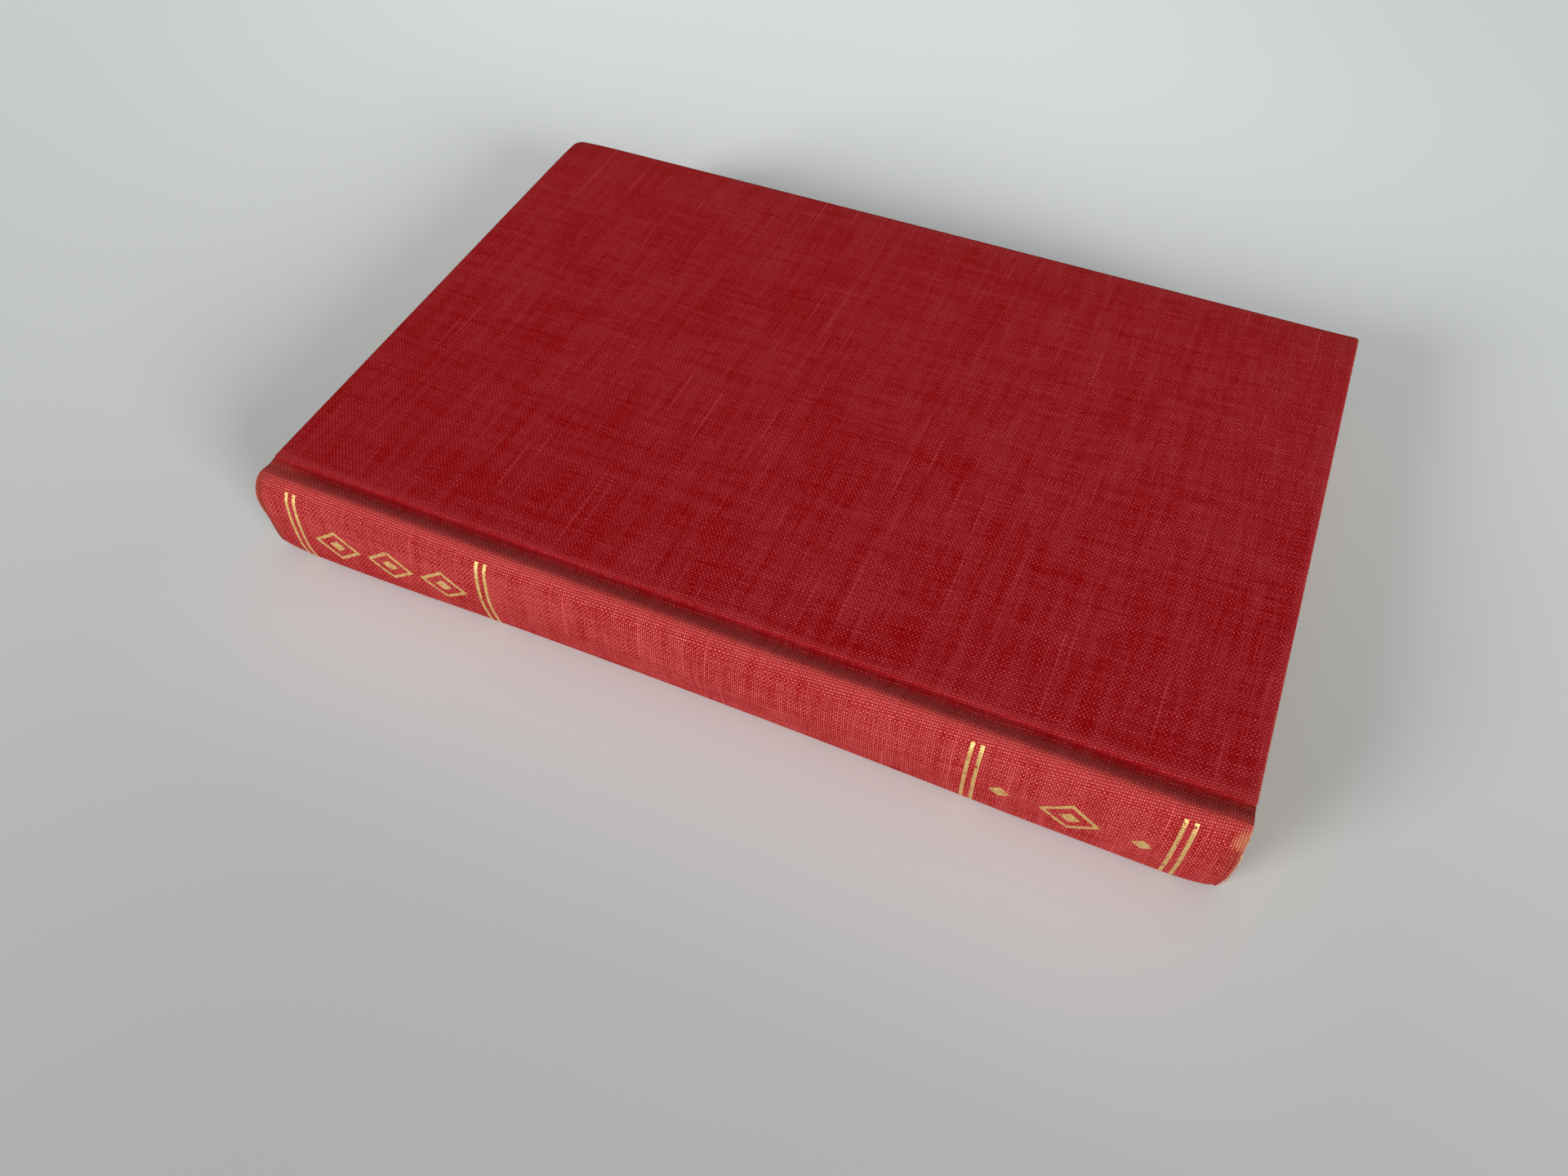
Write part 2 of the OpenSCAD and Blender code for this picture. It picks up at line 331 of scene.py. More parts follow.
def spine_line(y):
    """Outline over the spine at y, from the front ridge to the back one."""
    end = SPINE_HEAD if y > 0 else SPINE_TAIL
    line = SPINE_MID + (end - SPINE_MID) * spine_end(y)
    # The lower shoulder is pressed in at mid-length, and stands out towards the head
    drop = BOOK_T - line[:, 1]
    low = smoothstep(drop, 9, 16) * (1 - smoothstep(drop, 19.6, 20.5))
    press = PRESS_DEPTH * (1 - (y / PRESS_HALF) ** 2) if abs(y) < PRESS_HALF else 0.0
    line[:, 0] += low * (press - HEAD_SWELL * bell(y, 80, 22))
    return line


def skin(line_at):
    """A function that gives the outline at y, its normals and the distance along it, worked out once."""

    @lru_cache(maxsize=None)
    def known(y):
        line = line_at(y)
        return line, normals_2d(line), walked(line)

    return lambda y: known(round(float(np.clip(y, -COVER_HALF, COVER_HALF)), 4))


spine_skin = skin(spine_line)
# Cloth coordinate at the top of the ridge, where the joint's cloth ends
SPINE_FROM = -walked(GROOVE_MID)[-1]


def on_spine(y, z, lift):
    """Point over the spine's surface at (y, z), and its cloth coordinate."""
    line, normal, length = spine_skin(y)
    rising = line[::-1, 1]
    u, nu, nz, s = (np.interp(z, rising, v[::-1]) for v in (line[:, 0], normal[:, 0], normal[:, 1], length))
    return (u + nu * lift, y, z + nz * lift), (SPINE_FROM - s, y)


def stations(end, count):
    """Places along y from -end to end, closer together near the ends."""
    near = np.array([0, 0.25, 0.5, 0.75, 1.0, 1.3, 1.7, 2.2, 2.8, 3.5, 4.4, 5.6, 7, 9, 12])
    middle = np.linspace(near[-1], 2 * end - near[-1], count)[1:-1]
    return np.r_[near, middle, 2 * end - near[::-1]] - end


# Folded cloth: spine and joints

# Where the turned-in cloth starts over the joints and ridges, just clear of the leaves' ends
JOINT_REACH = 95.3
# How far the sheet's inside stays from the fold, and the gaps left between cloths and round the card
FOLD_SLACK = 0.3
CLOTH_GAP = 0.01
CARD_GAP = 0.02
# Width of the strip beside each ridge over which the fold grows as thick as on the face
RIDGE_W = 3.6
# Depth of the dent behind the rims at the spine's ends, and where it lies
CREASE_DEPTH = 0.16
CREASE_AT = 1.25


def fold_path(thick, reach):
    """The (y, depth) path round a cloth that is turned in over both ends: outside, over the head, along the
    turned-in part to reach, back under it to the fold, and on along the inside. thick is the whole fold's."""
    r = thick / 2
    flat = COVER_HALF - r
    out = stations(flat, 44)
    bend = np.radians(np.linspace(0, 180, 9))[1:-1]
    rim = [(flat + r * sin(a), r * (1 - cos(a))) for a in bend]
    inner = COVER_HALF - CLOTH_T - FOLD_SLACK
    turned_in = [(flat, thick), ((flat + reach) / 2, thick), (reach, thick),
                 (reach, thick - CLOTH_T + CLOTH_GAP), (inner, thick - CLOTH_T), (inner, CLOTH_T + CLOTH_GAP)]
    head = rim + turned_in
    inside = [(y, CLOTH_T) for y in out[::-1] if abs(y) < inner - 0.5]
    tail = [(-y, d) for y, d in head[::-1]]
    return [(y, 0.0) for y in out] + head + inside + tail


def shell(skin_at, thick, reach, columns, crease):
    """Points and cloth coordinates of a folded cloth over a skin. thick and reach are functions of the place
    along the outline, from 0 to 1, and crease is the depth of the dent behind the rim."""
    paths = [np.array(fold_path(thick(t), reach(t))) for t in np.linspace(0, 1, columns)]
    rows = len(paths[0])
    points = np.zeros((rows, columns, 3))
    cloth = np.zeros((rows, columns, 2))
    for k in range(rows):
        for j in range(columns):
            y, depth = paths[j][k]
            line, normal, length = skin_at(y)
            beyond = depth if abs(y) > COVER_HALF - 3 else 0.0
            if depth == 0:
                depth = crease * bell(COVER_HALF - abs(y), CREASE_AT, 0.35)
            points[k, j] = (line[j, 0] - normal[j, 0] * depth, y, line[j, 1] - normal[j, 1] * depth)
            cloth[k, j] = (-length[j], y + copysign(beyond, y))
    return points, cloth


def shell_mesh(name, skin_at, thick, reach, columns, cloth_from, marks_at, material, crease=0.0, back=False):
    """A folded cloth as a closed mesh. cloth_from is the cloth coordinate at the outline's start, and
    marks_at gives the marks for points at shares t of the outline."""
    points, cloth = shell(skin_at, thick, reach, columns, crease)
    rows = len(points)
    faces = grid_faces(rows, columns, closed_rows=True)
    faces += [tuple(range(j, rows * columns, columns)) for j in (0, columns - 1)]
    flat = points.reshape(-1, 3)
    at = cloth.reshape(-1, 2) + [cloth_from, 0]
    uvs = np.array([at[i] for f in faces for i in f])
    marks = marks_at(flat, np.tile(np.linspace(0, 1, columns), rows))
    return build(name, sided(flat, back), faces, material, uvs, marks)


def on_face(t, low):
    """0 at the ridges, and 1 on the spine's face between the strips beside them."""
    return float(smoothstep(min(t, 1 - t) * SPINE_LEN / RIDGE_W, low, 1.0))


def spine_thick(t):
    """Thickness of the fold at the spine's ends: cloth, card and cloth on the face, two cloths at a ridge."""
    return 2 * CLOTH_T + CARD_T * on_face(t, 0.2)


def spine_reach(t):
    """How far from mid-length the turned-in cloth starts."""
    return JOINT_REACH - (JOINT_REACH - (COVER_HALF - TURN_IN)) * on_face(t, 0.3)


def spine_marks(points, t):
    """Wear of the spine's cloth: a rubbed ridge that is partly a painted highlight, browned head, and a tail
    whose upper threads are worn away.
    """
    y, s = points[:, 1], t * SPINE_LEN
    end = COVER_HALF - np.abs(y)
    head, tail = y > 0, y < 0
    rim = fading(end, 0.5)
    crease = bell(end, CREASE_AT, 0.45)
    face = smoothstep(s, 0, 3)
    worn = bell(end, 1.2, 1.3) * bell(s, 3.2, 1.8) * tail
    ridge = 1 - smoothstep(s, 0, 6)
    head_soil = 0.85 * rim + 0.8 * crease * face + (0.2 + 0.35 * ridge) * fading(end, 4)
    spot = 0.35 * bell(end, 1.6, 1.3) * bell(s, 8.0, 3.5)
    tail_soil = spot + 0.3 * crease * face + 0.3 * fading(end, 4) * bell(s, 0, 2)
    return {
        # Rubbed ridge, and painted light over the upper shoulder
        "rub": 0.95 * (1 - smoothstep(s, 0.6, 3.4)),
        "soil": head * head_soil + tail * tail_soil,
        "fade": np.ones_like(s),
        "fray": 0.75 * worn + 0.85 * rim * tail + 0.55 * rim * head,
    }


def joint_marks(points, t):
    """The cloth in a joint: pressed in and soiled, browner towards the ends, with painted shade at the
    groove's foot and painted light up its slope.
    """
    y = points[:, 1]
    end = COVER_HALF - np.abs(y)
    foot = 1 - smoothstep(t, 0.45, 0.95)
    near = fading(end, 9)
    return {
        # Painted light up the groove's slope, and the rubbed ridge top, partly a painted highlight
        "rub": 0.6 * smoothstep(t, 0.1, 0.4) + 0.35 * smoothstep(t, 0.75, 1.0),
        "soil": 0.06 * foot + (0.15 + 0.3 * foot) * near + 0.5 * fading(end, 0.6),
        # The spine's faded colours, spread down the groove as painted light
        "fade": smoothstep(t, -0.1, 0.5),
        "fray": 0.5 * fading(end, 0.4) * (y < 0) * t,
        # Painted shade at the groove's foot beside the board
        "press": 0.3 * (1 - smoothstep(t, 0.0, 0.3)),
    }


def make_spine(material):
    spine = shell_mesh("spine_woven_cloth", spine_skin, spine_thick, spine_reach, SPINE_N, SPINE_FROM,
                       spine_marks, material, crease=CREASE_DEPTH)
    settle(spine, "text_block", "book_cloth", "spine_cloth")
    for side, line, back in (("front", groove_line, False), ("back", back_groove_line, True)):
        joint = shell_mesh(f"{side}_joint_cloth", skin(line), lambda t: 2 * CLOTH_T, lambda t: JOINT_REACH,
                           JOINT_N, 0, joint_marks, material, back=back)
        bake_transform(joint)
        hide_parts("spine_cloth")


def make_card(material):
    """The card strip, which follows the cloth over it."""
    first = int(0.14 * SPINE_N)
    last = SPINE_N - first
    ys = stations(COVER_HALF - CLOTH_T - 0.35, 30)
    points = []
    for depth in (CLOTH_T + CARD_GAP, CLOTH_T + CARD_T - CARD_GAP):
        for y in ys:
            line, normal, _ = spine_skin(y)
            points += [(*(line[j] - normal[j] * depth), y) for j in range(first, last)]
    points = np.array(points)[:, [0, 2, 1]]
    faces = thickened(grid_faces(len(ys), last - first), len(points) // 2)
    card = build("spine_card", points, faces, material)
    settle(card, "text_block", "grey_board", "spine_inlay")


# Gilt

def line_grid(y, draw):
    """Grid of places (y, z) over one gilt line across the spine, with slightly uneven edges."""
    grid = []
    for z in np.linspace(LINE_HIGH, BOOK_T - LINE_HIGH, 60):
        left, right = (draw.uniform(-0.04, 0.04) for _ in range(2))
        grid.append([(y - LINE_W / 2 + left, z), (y, z), (y + LINE_W / 2 + right, z)])
    return np.array(grid)


def frame_grid(y):
    """Grid over the sides of a framed lozenge, from its outer to its inner edge."""
    long, high = LOZENGE
    inner = 1 - LINE_W * 2 * hypot(long, high) / (long * high)
    corners = np.array([(-long / 2, 0), (0, -high / 2), (long / 2, 0), (0, high / 2)])
    steps = np.linspace(0, 1, 14, endpoint=False)[:, None]
    loop = np.vstack([a + (b - a) * steps for a, b in zip(corners, np.roll(corners, -1, axis=0))])
    return np.stack([loop * k for k in (1, (1 + inner) / 2, inner)], axis=1) + [y, MID_Z]


def lozenge_grid(y):
    """Grid over a small full lozenge."""
    long, high = (side * SMALL_SHARE / 2 for side in LOZENGE)
    steps = np.linspace(0, 1, 6)
    return np.array([[(y + long * (a + b - 1), MID_Z + high * (a - b)) for a in steps] for b in steps])


def gilt_grids():
    """All gilt motifs, each as a grid of places and whether its rows close into a ring."""
    draw = random.Random(3)
    lines = [m + s * (LINE_GAP + LINE_W) / 2 for m in HEAD_LINES + TAIL_LINES for s in (-1, 1)]
    head = sum(HEAD_LINES) / 2
    tail = sum(TAIL_LINES) / 2
    framed = [head + k * LOZENGE_STEP for k in (-1, 0, 1)] + [tail]
    full = framed + [tail - LOZENGE_STEP, tail + LOZENGE_STEP]
    return ([(line_grid(y, draw), False) for y in lines] + [(frame_grid(y), True) for y in framed]
            + [(lozenge_grid(y), False) for y in full])


def make_gilt(material):
    points, faces, uvs = [], [], []
    for grid, ring in gilt_grids():
        places = grid.reshape(-1, 2)
        top = [on_spine(y, z, FOIL_T) for y, z in places]
        low = [on_spine(y, z, -FOIL_SINK) for y, z in places]
        cloth = [c for _, c in top + low]
        sheet = thickened(grid_faces(*grid.shape[:2], closed_rows=ring), len(places))
        uvs += [cloth[k] for f in sheet for k in f]
        faces += moved_on(sheet, len(points))
        points += [p for p, _ in top + low]
    foil = build("spine_foil", points, faces, material, uvs, smooth_angle=60)
    settle(foil, "text_block", "gilt", "spine_gilt")


# Loose threads

def tube(path, radius, sides=5):
    """Points and faces of a closed tube along a path."""
    path = np.asarray(path, float)
    points = []
    for k, (p, d) in enumerate(zip(path, np.gradient(path, axis=0))):
        d = d / np.linalg.norm(d)
        a = np.cross(d, (0.31, 0.17, 0.93))
        a /= np.linalg.norm(a)
        b = np.cross(d, a)
        r = radius * (0.45 if k in (0, len(path) - 1) else 1.0)
        for w in np.linspace(0, 2 * pi, sides, endpoint=False):
            points.append(p + r * (a * cos(w) + b * sin(w)))
    faces = grid_faces(len(path), sides, closed_columns=True)
    faces += [tuple(range(k, k + sides)) for k in (0, len(points) - sides)]
    return points, faces


def rim_thread(end, t, draw):
    """Path of a loose thread that starts in the rim's rounding at share t of the outline and lifts off it."""
    step = draw.choice((-1, 1)) * draw.uniform(0.012, 0.03)
    out = draw.uniform(0.02, 0.12)
    turn = radians(draw.uniform(25, 125))
    line, normal, _ = spine_skin(end * COVER_HALF)
    path = []
    for k in range(6):
        here = float(np.clip(t + step * k / 5, 0.0, 1.0))
        half = spine_thick(here) / 2
        r = half + out * (k / 5) ** 2
        depth = half - r * cos(turn)
        at = here * (SPINE_N - 1)
        u, z = (np.interp(at, range(SPINE_N), line[:, i] - normal[:, i] * depth) for i in (0, 1))
        path.append((u, end * (COVER_HALF - half + r * sin(turn)), z))
    return path


def make_frays(material):
    """Short thread ends that stand out of the worn rims at the head and tail of the spine."""
    draw = random.Random(11)
    points, faces = [], []
    for end, count, lowest in ((-1, 90, 0.85), (1, 36, 0.6)):
        for _ in range(count):
            path = rim_thread(end, draw.uniform(0.02, lowest), draw)
            p, f = tube(path, draw.uniform(0.04, 0.075))
            faces += moved_on(f, len(points))
            points += p
    frays = build("spine_frayed_threads", points, faces, material)
    settle(frays, "text_block", "book_cloth")


# Covers

SIDES = ("joint", "head", "fore", "tail")
# How much the turned-in strips' inner corners are cut
MITRE = 5


def edge_places(length):
    """Places from 0 to length, close together near both ends."""
    near = np.array([0, 0.3, 0.7, 1.1, 1.5, 1.9, 2.4, 3, 4, 7])
    middle = np.linspace(near[-1], length - near[-1], int(length / 5))[1:-1]
    return np.r_[near, middle, length - near[::-1]]


def square_to_round(du, dy, r):
    """Moves a point near a square corner, du and dy from its two sides, into a corner of radius r."""
    if du >= r or dy >= r or r <= 0:
        return du, dy
    a, b = 1 - du / r, 1 - dy / r
    return r * (1 - a * sqrt(1 - b * b / 2)), r * (1 - b * sqrt(1 - a * a / 2))


class Cover:
    """The cloth over one board, as rings round its plan that run from the top over the edges to the turned-in
    strips and back along the inside."""

    def __init__(self, knock):
        self.knock = knock
        self.us = edge_places(COVER_WID)
        self.ys = edge_places(2 * COVER_HALF) - COVER_HALF
        nu, ny = len(self.us), len(self.ys)
        self.ring = [(0, j) for j in range(ny)] + [(i, ny - 1) for i in range(1, nu)]
        self.ring += [(nu - 1, j) for j in range(ny - 2, -1, -1)] + [(i, 0) for i in range(nu - 2, 0, -1)]
        lengths = (ny - 1, nu - 1) * 2
        self.side_of = [s for s, n in zip(SIDES, lengths) for _ in range(n)]

    def place(self, u, y, insets, cut):
        """Plan position of the point (u, y) of the outer plan, in a plan drawn in by insets on each side."""
        joint, fore, end = insets
        far, half = COVER_WID - fore, COVER_HALF - end
        du = joint + u * (COVER_WID - joint - fore) / COVER_WID
        dy = y * half / COVER_HALF
        at_joint = du - joint < far - du
        r = max((self.knock if dy > 0 and not at_joint else CORNER_R) - cut, 0.02)
        a, b = square_to_round(du - joint if at_joint else far - du, half - abs(dy), r)
        return (joint + a if at_joint else far - a), copysign(half - b, dy)

    def rings(self):
        """(insets, corner cut, height over the edges, height over the joint edge) for each ring."""
        low, board_low = COVER_LOW[2], BOARD_LOW[2]
        found = []
        for a in np.radians([0, 22, 45, 67, 90]):
            i = EDGE_R * (1 - sin(a))
            z = BOOK_T - EDGE_R * (1 - cos(a))
            found.append(((i, i, i), i, z, z))
        found.append(((0, 0, 0), 0, low + CLOTH_T, board_low))
        for a in np.radians([30, 60, 90]):
            i = CLOTH_T * (1 - cos(a))
            found.append(((0.4 * i, i, i), i, low + CLOTH_T * (1 - sin(a)), board_low))
        turned = (CLOTH_T - 0.02, TURN_IN, TURN_IN)
        inside = (CLOTH_T,) * 3
        found += [(turned, MITRE, low, board_low), (turned, MITRE, board_low - 0.005, board_low - 0.005)]
        return found + [(inside, CLOTH_T, z, z) for z in (board_low, BOARD_HIGH[2])]

    def mesh(self):
        """Points, faces and the cloth coordinates of each face's corners."""
        nu, ny = len(self.us), len(self.ys)
        rings = self.rings()
        inset, cut, z, _ = rings[0]
        points = [(*self.place(u, y, inset, cut), z) for u in self.us for y in self.ys]
        faces = grid_faces(nu, ny)
        uvs = [points[k][:2] for f in faces for k in f]
        before = [i * ny + j for i, j in self.ring]
        gone_before = 0.0
        last = (EDGE_R, z)
        for inset, cut, z, z_joint in rings[1:]:
            now = range(len(points), len(points) + len(self.ring))
            for i, j in self.ring:
                points.append((*self.place(self.us[i], self.ys[j], inset, cut), z_joint if i == 0 else z))
            gone = gone_before + hypot(inset[1] - last[0], z - last[1])
            for k, side in enumerate(self.side_of):
                m = (k + 1) % len(now)
                f = (before[k], before[m], now[m], now[k])
                faces.append(f)
                for q, d in zip(f, (gone_before, gone_before, gone, gone)):
                    uvs.append(self.edge_coordinate(points[q], side, d))
            before, gone_before, last = now, gone, (inset[1], z)
        faces.append(tuple(before))
        uvs += [points[k][:2] for k in before]
        return np.array(points), faces, np.array(uvs)

    def edge_coordinate(self, point, side, d):
        """Cloth coordinate of a point on an edge, d beyond where the edge's rounding starts."""
        if side == "joint":
            return (EDGE_R - d, point[1])
        if side == "fore":
            return (COVER_WID - EDGE_R + d, point[1])
        return (point[0], (COVER_HALF - EDGE_R + d) * (1 if side == "head" else -1))


def used(points):
    """The front cover's slight bow at the fore edge, its dropped head corner and its lifted tail corner."""
    p = points.copy()
    u, y = points[:, 0], points[:, 1]
    far = np.clip(u / COVER_WID, 0, 1)
    upper = smoothstep(points[:, 2], BOARD_LOW[2] + 0.2, BOARD_HIGH[2])
    p[:, 0] += far**3 * (0.3 * (1 - (y / COVER_HALF) ** 2) - 0.12)
    p[:, 2] += upper * 0.10 * np.sin(u / 47 + 0.6) * np.cos(y / 61 - 0.4) * far
    p[:, 2] -= upper * 0.35 * bell(u, COVER_WID, 5) * bell(y, COVER_HALF, 5)
    p[:, 2] += upper * 0.15 * bell(u, COVER_WID, 3.5) * bell(y, -COVER_HALF, 3.5)
    return p


def cover_marks(points):
    """Wear of a cover's cloth: a rubbed line along the joint that is partly a painted highlight, painted
    shade on the joint's wall, soiled edges, a rubbed and frayed tail.
    """
    u, y = points[:, 0], points[:, 1]
    end = COVER_HALF - np.abs(y)
    fore = COVER_WID - u
    drop = BOOK_T - points[:, 2]
    near = (np.abs(y) / COVER_HALF) ** 6
    # The rubbed line along the joint edge is partly a painted highlight, where the rounded edge catches the
    # light
    rub = 0.6 * bell(u, 0.9 + 0.5 * near, 0.7) * (drop < 0.5) + 0.35 * bell(u, 0.8, 2.2) * near
    edge = np.maximum(fading(end, 0.5), fading(fore, 0.5)) * (y > -90)
    edge = edge + 0.4 * fading(fore, 6)
    corner = fading(np.hypot(end, fore), 2.5) + 0.6 * fading(np.hypot(end, u), 2.5)
    # Painted shade on the joint-side wall, down into the groove
    wall = smoothstep(drop, -0.05, 0.3) * (u < 0.62)
    tail_rub = 0.4 * bell(end, 0.5, 0.8) * (y < 0) * (drop < 0.6)
    tail_fray = (0.38 + 0.2 * bell(u, 0, 30)) * bell(end, 0.15, 0.25) * (y < 0) * (drop < 0.7)
    return {
        "rub": rub + tail_rub,
        "soil": 0.55 * edge + 0.6 * corner,
        "fray": 0.5 * fading(np.hypot(end, fore), 0.8) + tail_fray,
        "press": 0.9 * wall,
    }


def make_cover(side, material):
    front = side == "front"
    points, faces, uvs = Cover(KNOCK_R if front else CORNER_R).mesh()
    shaped = used(points) if front else sided(points, back=True)
    cover = build(f"{side}_cover_woven_cloth", shaped, faces, material, uvs, cover_marks(points), 50)
    settle(cover, f"{side}_cover", "book_cloth", f"{side}_cover_cloth")


# Leaves

LEAVES = 112
GATHERING = 14
FOLD_N = 16
# Where the leaves come to run straight, and a place far beyond it
STRAIGHT_FROM = 3.0
STRAIGHT_U = 60
# How far leaves are drawn in at random, and the first leaf of a gathering beyond that
DRAWN_IN = 0.09
GATHERING_IN = 0.05
HALF_SHEET = 0.02


def coons(s, q, curves):
    """Point of the block's section for the leaf at s (0 mid-thickness, 1 outermost) and q (0 where the leaves
    run straight, 1 at the back): a patch between the outermost leaf, the middle one and the block's back."""
    top, mid, right, left = curves
    a = (1 - s) * mid(q) + s * top(q)
    b = (1 - q) * right(s) + q * left(s)
    c = (1 - s) * ((1 - q) * mid(0) + q * mid(1)) + s * ((1 - q) * top(0) + q * top(1))
    return a + b - c


def along(points):
    """A function that gives the point at a share of the length of a line."""
    points = np.asarray(points, float)
    step = walked(points)
    step /= step[-1]
    return lambda t: np.array([np.interp(t, step, points[:, 0]), np.interp(t, step, points[:, 1])])


def block_curves():
    """The outermost leaf, the middle one, the line where the leaves run straight, and the block's back."""
    floor_r = GROOVE_R + JOINT_BLOCK
    ridge_r = RIDGE_R - JOINT_BLOCK
    tip = 75
    top = np.vstack([
        [[STRAIGHT_FROM, BLOCK_TOP], [GROOVE_C[0], BLOCK_TOP]],
        arc(GROOVE_C, floor_r, 270, 180, 10)[1:],
        arc(RIDGE_C, ridge_r, 0, tip, 8)[1:],
    ])
    flank = 180 - degrees(asin((SHOULDER_R - SPINE_BLOCK - ridge_r) / (SHOULDER_R - RIDGE_R)))
    back = np.vstack([arc(RIDGE_C, ridge_r, tip, flank, 8), shoulder_line(SPINE_BLOCK, flank)])[::-1]
    mid = [[STRAIGHT_FROM, MID_Z], [back[0][0], MID_Z]]
    right = [[STRAIGHT_FROM, MID_Z], [STRAIGHT_FROM, BLOCK_TOP]]
    return [along(c) for c in (top, mid, right, back)]


def leaf_section(s, curves, pull):
    """Points of one leaf's section, from the back to the fore edge, at s from -1 to 1."""
    pts = np.array([coons(abs(s), q, curves) for q in np.linspace(1, 0, FOLD_N)])
    half_t = BLOCK_TOP - MID_Z
    fore_r = (half_t**2 + FORE_HOLLOW**2) / (2 * FORE_HOLLOW)
    z = abs(s) * half_t
    fore_u = BLOCK_FORE + fore_r - FORE_HOLLOW - sqrt(fore_r**2 - z * z) - pull
    pts = np.vstack([pts, [[STRAIGHT_U, MID_Z + z], [fore_u, MID_Z + z]]])
    if s < 0:
        pts[:, 1] = BOOK_T - pts[:, 1]
    return pts


def leaf_caps(base, columns, m):
    """Faces over the flat side of an outermost leaf, whose points start at base."""
    cap = [(base + i, base + i + 1, base + columns - 2 - i, base + columns - 1 - i) for i in range(m - 2)]
    return cap + [tuple(range(base + m - 2, base + columns - m + 2))]


def make_leaves(material):
    """The leaves as one closed block, with each leaf's edge a little in or out of its neighbours."""
    draw = random.Random(7)
    curves = block_curves()
    fore_ys = np.linspace(BLOCK_HALF, -BLOCK_HALF, 15)[1:-1]
    points, tone = [], []
    for k in range(LEAVES):
        first = k % GATHERING == 0
        pull_fore, pull_head, pull_tail = (draw.uniform(0, DRAWN_IN) + GATHERING_IN * first for _ in range(3))
        shade = draw.uniform(0, 1) * 0.6 + 0.4 * first
        for edge in (0.0 if k == 0 else 0.02, 1.0 if k == LEAVES - 1 else 0.98):
            section = leaf_section(2 * (k + edge) / LEAVES - 1, curves, pull_fore)
            loop = [(u, BLOCK_HALF - pull_head, z) for u, z in section]
            loop += [(section[-1][0], y, section[-1][1]) for y in fore_ys]
            loop += [(u, pull_tail - BLOCK_HALF, z) for u, z in section[::-1]]
            points += loop
            tone += [shade] * len(loop)
    rows = 2 * LEAVES
    columns = len(points) // rows
    faces = grid_faces(rows, columns, closed_columns=True)
    for row in (0, rows - 1):
        faces += leaf_caps(row * columns, columns, FOLD_N + 2)
    block = build("leaves", points, faces, material, marks={"tone": tone}, smooth_angle=30)
    settle(block, "text_block", "leaves", "text_block")


def paper_strip(name, path, back, material):
    """A strip of endpaper as long as the leaves, from a path of points (u, z)."""
    path = np.asarray(path, float)
    points = []
    for lift in (HALF_SHEET, -HALF_SHEET):
        line = path + normals_2d(path) * lift
        points += [(u, y, z) for y in (-BLOCK_HALF, BLOCK_HALF) for u, z in line]
    faces = thickened(grid_faces(2, len(path)), 2 * len(path))
    return build(name, sided(points, back), faces, material)


def make_paper_joints(material):
    """The endpapers in the joints, which show when a cover is opened: a strip over the mull, and a fold that
    lies flat between the free leaf and the leaf that is pasted down while the book is closed."""
    low = BLOCK_TOP + PAPER_T + 0.03
    high = low + 0.16
    over_mull = GROOVE_C[1] - GROOVE_R - CLOTH_T + 0.03
    turn = arc((-1.5, (low + high) / 2), (high - low) / 2, 270, 90, 33)
    fold = np.vstack([[(0.8, low), (0, low)], turn, [(0, high), (0.3, high)]])
    strip = [(0.9, low), (-0.1, low), (-0.27, over_mull), (-1.6, over_mull)]
    for side in ("front", "back"):
        back = side == "back"
        over = paper_strip(f"{side}_paper_over_mull", strip, back, material)
        settle(over, "text_block", "endpaper")
        hinge = paper_strip(f"{side}_paper_hinge", fold, back, material)
        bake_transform(hinge)


# Materials

class Value:
    """A number, vector or colour from a node. Arithmetic with it adds the nodes that do it."""

    def __init__(self, graph, socket):
        self.graph, self.socket = graph, socket

    def __add__(self, other):
        return self.graph.calc("ADD", self, other)

    def __sub__(self, other):
        return self.graph.calc("SUBTRACT", self, other)

    def __rsub__(self, other):
        return self.graph.calc("SUBTRACT", other, self)

    def __mul__(self, other):
        return self.graph.calc("MULTIPLY", self, other)

    def __truediv__(self, number):
        return self * (1 / number)

    def __abs__(self):
        return self.graph.calc("ABSOLUTE", self)


